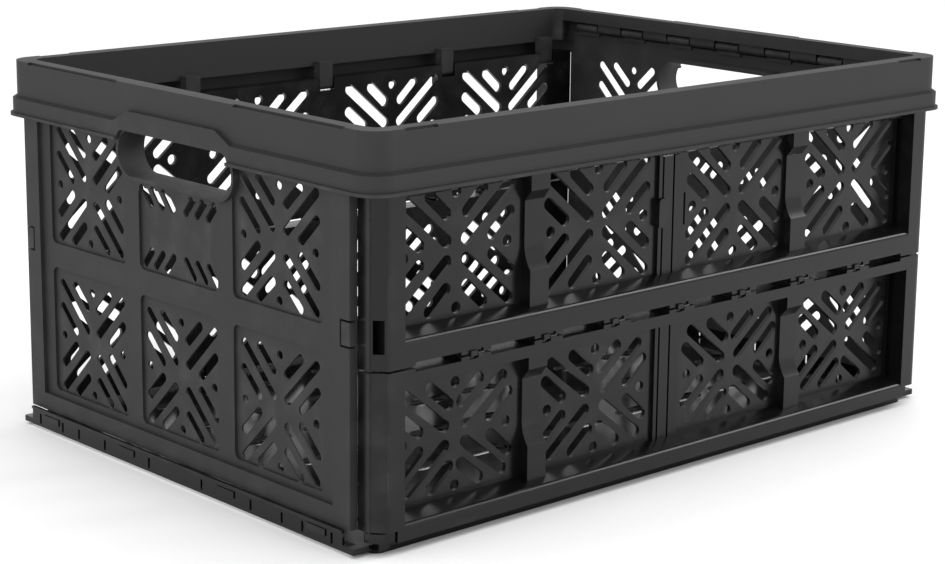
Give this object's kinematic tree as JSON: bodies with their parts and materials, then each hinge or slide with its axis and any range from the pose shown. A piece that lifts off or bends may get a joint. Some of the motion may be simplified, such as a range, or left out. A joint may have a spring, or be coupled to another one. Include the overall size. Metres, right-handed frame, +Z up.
{
  "type": "collapsible storage crate",
  "caption": "Open rectangular folding crate: slotted walls hinge inwards between a flat base and a deep rim with a grip opening at each end.",
  "frame": {"origin": "middle of the footprint, on the surface that the crate stands on", "axes": "+X along the long side, towards the right end wall; +Y along the short side, towards the back wall; +Z up, out of the open top"},
  "size_m": [0.475, 0.3536, 0.227],
  "materials": {
    "crate_plastic": "fine-grained matte, dark grey",
    "wall_plastic": "satin, nearly black",
    "rod_plastic": "smooth, dark grey"
  },
  "bodies": {
    "base": {"base": "wall_plastic", "base_hinge_rod_front": "rod_plastic", "base_hinge_rod_back": "rod_plastic"},
    "lower_front": {"wall_lower_front": "wall_plastic"},
    "upper_front": {"wall_upper_front": "wall_plastic", "fold_hinge_pins_front": "rod_plastic"},
    "rim": {"rim": "crate_plastic", "rim_hinge_rod_front": "rod_plastic", "rim_hinge_rod_back": "rod_plastic", "end_hinge_rod_left": "rod_plastic", "end_hinge_rod_right": "rod_plastic"},
    "upper_back": {"wall_upper_back": "wall_plastic", "fold_hinge_pins_back": "rod_plastic"},
    "lower_back": {"wall_lower_back": "wall_plastic"},
    "end_left": {"end_wall_left": "crate_plastic"},
    "end_right": {"end_wall_right": "crate_plastic"}
  },
  "joints": [
    {"name": "collapse", "type": "hinge", "parent": "base", "child": "lower_front", "pos_m": [0, -0.1595, 0.01], "axis": [-1, 0, 0], "range_deg": [0, 90]},
    {"name": "fold_front", "type": "hinge", "parent": "lower_front", "child": "upper_front", "pos_m": [0, -0.1718, 0.1005], "axis": [-1, 0, 0], "range_deg": [-180, 0]},
    {"name": "rim_front", "type": "hinge", "parent": "upper_front", "child": "rim", "pos_m": [0, -0.1595, 0.191], "axis": [-1, 0, 0], "range_deg": [0, 90]},
    {"name": "rim_back", "type": "hinge", "parent": "rim", "child": "upper_back", "pos_m": [0, 0.1595, 0.191], "axis": [-1, 0, 0], "range_deg": [0, 90]},
    {"name": "fold_back", "type": "hinge", "parent": "upper_back", "child": "lower_back", "pos_m": [0, 0.1718, 0.1005], "axis": [-1, 0, 0], "range_deg": [-180, 0]},
    {"name": "end_left_swing", "type": "hinge", "parent": "rim", "child": "end_left", "pos_m": [-0.2275, 0, 0.2145], "axis": [0, -1, 0], "range_deg": [0, 90]},
    {"name": "end_right_swing", "type": "hinge", "parent": "rim", "child": "end_right", "pos_m": [0.2275, 0, 0.2145], "axis": [0, 1, 0], "range_deg": [0, 90]}
  ],
  "couplings": [
    {"joint": "fold_front", "follows": "collapse", "ratio": -2},
    {"joint": "rim_front", "follows": "collapse", "ratio": 1},
    {"joint": "rim_back", "follows": "collapse", "ratio": 1},
    {"joint": "fold_back", "follows": "collapse", "ratio": -2}
  ]
}
